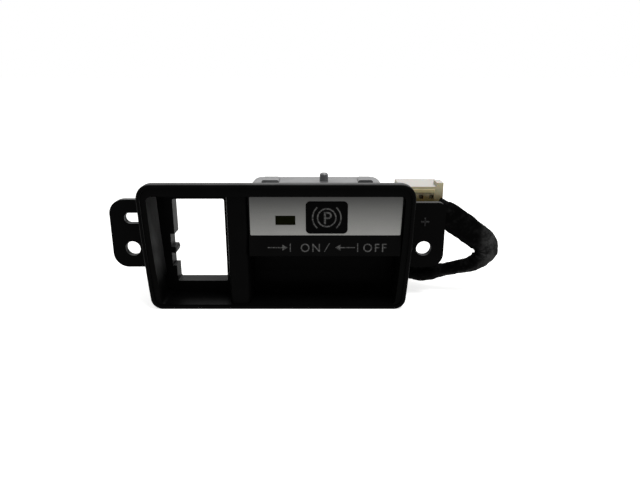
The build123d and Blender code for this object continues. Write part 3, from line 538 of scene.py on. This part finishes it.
harness = {
    # the route of the source, with the stretch before the plug lowered to follow the photograph
    "route": [(53.4, 17.0, -13.6), (59.0, 16.6, -15.0), (64.6, 13.8, -17.0), (70.2, 11.0, -15.2),
              (75.9, 8.8, -13.0), (81.6, 7.4, -11.4), (87.2, 6.7, -10.0), (91.9, 6.4, -7.4),
              (95.2, 6.2, -2.9), (93.2, 6.1, 1.3), (87.8, 6.0, 5.1), (82.2, 5.9, 9.1),
              (76.4, 6.1, 13.3), (70.0, 6.2, 16.2)],
    "routeSteps": 24,
    # pairs of a place along the lead, from 0 to 1, and the value there
    "halfWide": [(0.0, 3.6), (0.1, 3.7), (0.24, 3.9), (0.34, 3.6), (0.45, 4.1), (0.56, 5.1), (0.7, 5.9),
                 (0.9, 6.2), (1.0, 6.0)],
    "halfThin": [(0.0, 3.6), (0.12, 3.3), (0.3, 2.9), (0.45, 3.2), (0.56, 2.9), (0.7, 2.5), (0.88, 2.8),
                 (1.0, 2.8)],
    # degrees that the flat side is turned
    "turn": [(0.0, 30.0), (0.24, 25.0), (0.36, 58.0), (0.42, 58.0), (0.52, 30.0), (0.62, 5.0), (1.0, 0.0)],
    "squareness": 2.6,  # 2 would be an oval
    "sides": 56,
    "slack": 0.2,
    # the tape rises over each turn, and steps down at the edge
    "wrapPitch": 9.5,
    "wrapStep": 0.22,
    "wrapEdge": 0.94,
    # lumps of the wires below: waves per millimetre and height, on a round skin of the radius
    "lumps": [(0.33, 0.25), (0.9, 0.12)],
    "lumpRadius": 3.0,
    # pleats at the tip of the loop, weaker on the outside of the bend
    "creaseAt": 0.575,
    "creaseReach": 0.07,
    "creaseOutside": 0.12,
    "pleatHeight": 0.5,
    "pleatRate": 2.3,
    "pleatLean": 2.0,
    "foldHeight": 0.7,
    "foldRate": 0.6,
}


def between(table, where):
    # smooth value between the pairs of a table
    for (lowPlace, lowValue), (highPlace, highValue) in zip(table, table[1:]):
        if where <= highPlace:
            part = (where - lowPlace) / (highPlace - lowPlace)
            part = part * part * (3 - 2 * part)
            return lowValue + (highValue - lowValue) * part
    return table[-1][1]


def routePoints(route, steps):
    # a smooth line near the route, with each point's distance from the start
    curve = bpy.data.curves.new("harnessRoute", "CURVE")
    curve.dimensions = "3D"
    curve.resolution_u = steps
    spline = curve.splines.new("NURBS")
    spline.points.add(len(route) - 1)
    for target, point in zip(spline.points, route):
        target.co = (mm(point[0]), mm(point[1]), mm(point[2]), 1.0)
    spline.order_u = 3
    spline.use_endpoint_u = True
    holder = bpy.data.objects.new("routeReader", curve)
    line = bpy.data.meshes.new_from_object(holder)
    points = [vertex.co.copy() for vertex in line.vertices]
    bpy.data.objects.remove(holder)
    bpy.data.meshes.remove(line)
    places = [0.0]
    for before, after in zip(points, points[1:]):
        places.append(places[-1] + (after - before).length)
    return points, places


def tubeFaces(rings, sides):
    # skin and flat ends of a tube whose points come ring by ring
    faces = []
    for ring in range(rings - 1):
        for side in range(sides):
            here = ring * sides + side
            beside = ring * sides + (side + 1) % sides
            faces.append((here, beside, beside + sides, here + sides))
    faces.append(tuple(reversed(range(sides))))
    faces.append(tuple(range((rings - 1) * sides, rings * sides)))
    return faces


def tapeSwell(spot, along, distance, angle):
    # how far the tape stands out at a spot of the skin, in millimetres
    edge = harness["wrapEdge"]
    lap = (distance / harness["wrapPitch"] + angle / (2 * math.pi)) % 1.0
    lift = harness["wrapStep"] * (lap if lap < edge else (1 - lap) * edge / (1 - edge))
    lumps = sum(noise.noise(spot * rate) * height for rate, height in harness["lumps"])
    crease = math.exp(-((along - harness["creaseAt"]) / harness["creaseReach"]) ** 2)
    inside = 0.5 - 0.5 * math.cos(angle)
    weight = harness["creaseOutside"] + (1 - harness["creaseOutside"]) * inside
    wave = math.sin(distance * harness["pleatRate"] + harness["pleatLean"] * math.sin(angle))
    pleat = harness["pleatHeight"] * wave + harness["foldHeight"] * noise.noise(spot * harness["foldRate"])
    return lift + lumps + crease * pleat * weight - harness["slack"]


def makeHarness():
    path, places = routePoints(harness["route"], harness["routeSteps"])
    length = places[-1]
    sides = harness["sides"]
    power = harness["squareness"]
    vertices = []
    for step, centre in enumerate(path):
        along = places[step] / length
        distance = places[step] * 1000
        ahead = path[min(step + 1, len(path) - 1)] - path[max(step - 1, 0)]
        ahead.normalize()
        flat = Vector((0.0, 1.0, 0.0)).cross(ahead).normalized()
        deep = ahead.cross(flat).normalized()
        turn = math.radians(between(harness["turn"], along))
        wideAxis = flat * math.cos(turn) + deep * math.sin(turn)
        thinAxis = deep * math.cos(turn) - flat * math.sin(turn)
        wide = between(harness["halfWide"], along)
        thin = between(harness["halfThin"], along)
        for side in range(sides):
            angle = 2 * math.pi * side / sides
            c, s = math.cos(angle), math.sin(angle)
            roundness = (abs(c) ** power + abs(s) ** power) ** (-1 / power)
            spot = centre * 1000 + (wideAxis * c + thinAxis * s) * harness["lumpRadius"]
            swell = tapeSwell(spot, along, distance, angle)
            aside = mm((wide * roundness + swell) * c)
            outward = mm((thin * roundness + swell) * s)
            vertices.append(centre + wideAxis * aside + thinAxis * outward)
    mesh = meshFrom("tapedHarness", vertices, tubeFaces(len(path), sides))
    piece = addPiece("tapedHarness", mesh, tapeBlack, "frame")
    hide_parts("harness")
    print("harness", round(length * 1000, 1), "mm")


makeHarness()


# centring springs, drawn as coils that fill the boxes of the CAD springs

springs = {
    "wire": 0.4,
    "openTurns": 2.2,
    "closedTurns": 0.4,  # at each end, lying on the next turn
    "closedPitch": 0.42,
    "stepsPerTurn": 32,
    "sides": 10,
}


def makeSpring(name, node, fixedAtTop):
    low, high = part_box(node)
    half = mm(springs["wire"]) / 2
    radius = (high[0] - low[0]) / 2 - half
    axis = Vector(((low[0] + high[0]) / 2, (low[1] + high[1]) / 2, low[2] + half))
    height = high[2] - low[2] - 2 * half
    closed, active = springs["closedTurns"], springs["openTurns"]
    closedRise = mm(closed * springs["closedPitch"])
    turns = active + 2 * closed
    steps = round(turns * springs["stepsPerTurn"])
    sides = springs["sides"]
    vertices = []
    for step in range(steps + 1):
        turn = turns * step / steps
        if turn < closed:
            rise = turn / closed * closedRise
        elif turn > turns - closed:
            rise = height - (turns - turn) / closed * closedRise
        else:
            rise = closedRise + (turn - closed) / active * (height - 2 * closedRise)
        outward = Vector((math.cos(2 * math.pi * turn), math.sin(2 * math.pi * turn), 0.0))
        for side in range(sides):
            angle = 2 * math.pi * side / sides
            level = Vector((0.0, 0.0, rise - half * math.sin(angle)))
            vertices.append(axis + outward * (radius + half * math.cos(angle)) + level)
    piece = newPiece(name, meshFrom(name, vertices, tubeFaces(steps + 1, sides)), springSteel)
    ends = [(axis.x, axis.y, low[2]), (axis.x, axis.y, high[2])]
    if fixedAtTop:
        ends.reverse()
    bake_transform(piece)
    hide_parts(node)


makeSpring("upperCoil", "upper_spring", fixedAtTop=True)
makeSpring("lowerCoil", "lower_spring", fixedAtTop=False)
print("springs ready")


# thin plates and letters, drawn in millimetres on the plane of a matrix

def facePlane(point, up, towards):
    # a frame whose X runs right, Y runs up the face and Z comes out of it
    axes = (Vector((1, 0, 0)), Vector(up).normalized(), Vector(towards).normalized())
    matrix = Matrix(axes).transposed().to_4x4()
    matrix.translation = Vector(point)
    return matrix


def plateMesh(name, thickness, matrix, outlines=(), bands=()):
    # an outline is filled, and a band runs between pairs of inner and outer points, closed or with two ends
    build = bmesh.new()

    def corner(point, level):
        return build.verts.new(matrix @ Vector((mm(point[0]), mm(point[1]), mm(level))))

    for outline in outlines:
        low = [corner(point, 0.0) for point in outline]
        high = [corner(point, thickness) for point in outline]
        build.faces.new(high)
        build.faces.new(list(reversed(low)))
        for i in range(len(outline)):
            j = (i + 1) % len(outline)
            build.faces.new((low[i], low[j], high[j], high[i]))
    for pairs, closed in bands:
        rings = []
        for inner, outer in pairs:
            rings.append((corner(inner, 0.0), corner(outer, 0.0), corner(outer, thickness),
                          corner(inner, thickness)))
        for i in range(len(rings) if closed else len(rings) - 1):
            here, there = rings[i], rings[(i + 1) % len(rings)]
            for k in range(4):
                build.faces.new((here[k], here[(k + 1) % 4], there[(k + 1) % 4], there[k]))
        if not closed:
            build.faces.new(rings[0])
            build.faces.new(list(reversed(rings[-1])))
    bmesh.ops.recalc_face_normals(build, faces=build.faces)
    mesh = bpy.data.meshes.new(name)
    build.to_mesh(mesh)
    build.free()
    return mesh


def box(left, low, right, high):
    return [(left, low), (right, low), (right, high), (left, high)]


def arcBand(radius, stroke, start, end, steps, centre=(0.0, 0.0)):
    closed = end - start >= 360
    pairs = []
    for step in range(steps if closed else steps + 1):
        angle = math.radians(start + (end - start) * step / steps)
        pairs.append([(centre[0] + reach * math.cos(angle), centre[1] + reach * math.sin(angle))
                      for reach in (radius - stroke / 2, radius + stroke / 2)])
    return pairs, closed


ink = {
    "thickness": 0.03,
    "swell": 0.02,  # the ink runs this far past the plain letter
    "capitalPart": 0.72,  # height of a capital for a letter size of 1
}


def printLetters(name, text, height, spacing, place, matrix):
    curve = bpy.data.curves.new(name, "FONT")
    curve.body = text
    curve.size = mm(height / ink["capitalPart"])
    curve.space_character = spacing
    curve.align_x = "CENTER"
    curve.extrude = mm(ink["thickness"] / 2)
    curve.offset = mm(ink["swell"])
    holder = bpy.data.objects.new(name, curve)
    mesh = bpy.data.meshes.new_from_object(holder)
    bpy.data.objects.remove(holder)
    mesh.name = name
    shift = Matrix.Translation((mm(place), mm(-height / 2), mm(ink["thickness"] / 2)))
    mesh.transform(matrix @ shift)
    addPiece(name, mesh, printInk, "knob")


def printPlate(name, matrix, outlines=(), bands=()):
    addPiece(name, plateMesh(name, ink["thickness"], matrix, outlines, bands), printInk, "knob")


# prints on the knob, below the strip

legend = {
    "height": 3.6,
    "stroke": 0.42,
    "centreZ": 4.5,
    "lipOut": 1.5,  # how far the face leans out between the strip and the lip
    "belowStrip": 0.05,
    "pushMarkX": 1.2,
    "onX": 14.5,
    "slashX": 21.4,
    "pullMarkX": 29.5,
    "offX": 41.5,
    "letterSpacing": 1.25,
    # an arrow and the bar that it runs up to or comes from, on the mark's right
    "markHalf": 4.6,
    "barGap": 0.9,
    "headLength": 2.2,
    "headPart": 0.72,
    "slashHalf": 1.3,
}


def makeLegend():
    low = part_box("trim_strip")[0]
    faceY, foldZ = low[1], low[2] - mm(legend["belowStrip"])
    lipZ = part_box("knob")[0][2]
    run = Vector((0.0, mm(legend["lipOut"]), foldZ - lipZ))
    part = (foldZ - mm(legend["centreZ"])) / (foldZ - lipZ)
    matrix = facePlane((0.0, faceY - run.y * part, mm(legend["centreZ"])), run, (0.0, -run.z, run.y))
    half, stroke = legend["height"] / 2, legend["stroke"]
    head = half * legend["headPart"]
    for name, place, towards in (("pushMark", legend["pushMarkX"], 1), ("pullMark", legend["pullMarkX"], -1)):
        bar = place + legend["markHalf"]
        tail, tip = place - legend["markHalf"], bar - legend["barGap"]
        if towards < 0:
            tail, tip = tip, tail
        back = tip - towards * legend["headLength"]
        arrow = [(tail, -stroke / 2), (back, -stroke / 2), (back, -head), (tip, 0.0), (back, head),
                 (back, stroke / 2), (tail, stroke / 2)]
        printPlate(name, matrix, [box(bar, -half, bar + stroke, half), arrow])
    left, right = legend["slashX"] - legend["slashHalf"], legend["slashX"] + legend["slashHalf"]
    slash = [(left, -half), (left + stroke, -half), (right, half), (right - stroke, half)]
    printPlate("legendSlash", matrix, [slash])
    for name, text, place in (("legendOn", "ON", legend["onX"]), ("legendOff", "OFF", legend["offX"])):
        printLetters(name, text, legend["height"], legend["letterSpacing"], place, matrix)


makeLegend()


# parking brake sign on its plate

pictogram = {
    "ringOuter": 4.1,
    "ringStroke": 0.6,
    "ringSteps": 64,
    "bracketRadius": 5.9,
    "bracketStroke": 0.6,
    "bracketHalfAngle": 48.0,
    "bracketSteps": 20,
    "letterHeight": 5.4,
    "letterRight": 0.25,
}


def makePictogram():
    low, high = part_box("symbol_plate")
    middle = ((low[0] + high[0]) / 2, low[1], (low[2] + high[2]) / 2)
    matrix = facePlane(middle, (0, 0, 1), (0, -1, 0))
    stroke = pictogram["ringStroke"]
    bands = [arcBand(pictogram["ringOuter"] - stroke / 2, stroke, 0, 360, pictogram["ringSteps"])]
    spread = pictogram["bracketHalfAngle"]
    for middleAngle in (0, 180):
        bands.append(arcBand(pictogram["bracketRadius"], pictogram["bracketStroke"], middleAngle - spread,
                             middleAngle + spread, pictogram["bracketSteps"]))
    printPlate("pictogramRings", matrix, bands=bands)
    printLetters("pictogramLetter", "P", pictogram["letterHeight"], 1.0, pictogram["letterRight"], matrix)


makePictogram()


# painted highlight on the raised cross of the right ear, a pale sheet laid on it

crossMark = {
    "place": (mm(64.5), mm(-0.4), mm(12.2)),
    "half": 1.75,
    "stroke": 0.62,
    "thickness": 0.02,
}


def makeCrossMark():
    half, thin = crossMark["half"], crossMark["stroke"] / 2
    outline = [(-half, -thin), (-thin, -thin), (-thin, -half), (thin, -half), (thin, -thin), (half, -thin),
               (half, thin), (thin, thin), (thin, half), (-thin, half), (-thin, thin), (-half, thin)]
    matrix = facePlane(crossMark["place"], (0, 0, 1), (0, -1, 0))
    mesh = plateMesh("crossMarkHighlight", crossMark["thickness"], matrix, [outline])
    addPiece("crossMarkHighlight", mesh, crossHighlightBlack, "frame")


makeCrossMark()


# what the mould leaves on the back cover: a blank frame, ejector rings and low stiffening beads

coverMarks = {
    "frameSize": (26.0, 12.0),
    "frameStroke": 0.6,
    "frameUp": 5.0,
    "frameProud": 0.25,
    "ejectorAt": (18.5, 12.5),
    "ejectorRadius": 2.6,
    "ejectorStroke": 0.35,
    "ejectorSteps": 32,
    "ejectorProud": 0.08,
    "beadSize": (30.0, 1.1),
    "beadPitch": 3.4,
    "beadDown": 8.0,
    "beadProud": 0.45,
    "beadCount": 3,
}


def makeCoverMarks():
    low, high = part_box("rear_cover")
    middle = ((low[0] + high[0]) / 2, high[1], (low[2] + high[2]) / 2)
    matrix = facePlane(middle, (0, 0, 1), (0, 1, 0))
    corners = [(-1, -1), (1, -1), (1, 1), (-1, 1)]
    wide, tall = (size / 2 for size in coverMarks["frameSize"])
    stroke, up = coverMarks["frameStroke"], coverMarks["frameUp"]
    frameBand = [((side * (wide - stroke), up + end * (tall - stroke)), (side * wide, up + end * tall))
                 for side, end in corners]
    away, along = coverMarks["ejectorAt"]
    rings = [arcBand(coverMarks["ejectorRadius"], coverMarks["ejectorStroke"], 0, 360,
                     coverMarks["ejectorSteps"], (side * away, end * along)) for side, end in corners]
    wide, tall = (size / 2 for size in coverMarks["beadSize"])
    beads = []
    for row in range(coverMarks["beadCount"]):
        down = -coverMarks["beadDown"] - (row - 1) * coverMarks["beadPitch"]
        beads.append(box(-wide, down - tall, wide, down + tall))
    meshes = [
        plateMesh("coverFrame", coverMarks["frameProud"], matrix, bands=[(frameBand, True)]),
        plateMesh("coverEjectorMarks", coverMarks["ejectorProud"], matrix, bands=rings),
        plateMesh("coverBeads", coverMarks["beadProud"], matrix, beads),
    ]
    for mesh in meshes:
        addPiece(mesh.name, mesh, housingBlack, "frame")


makeCoverMarks()
print("prints and mould marks ready")
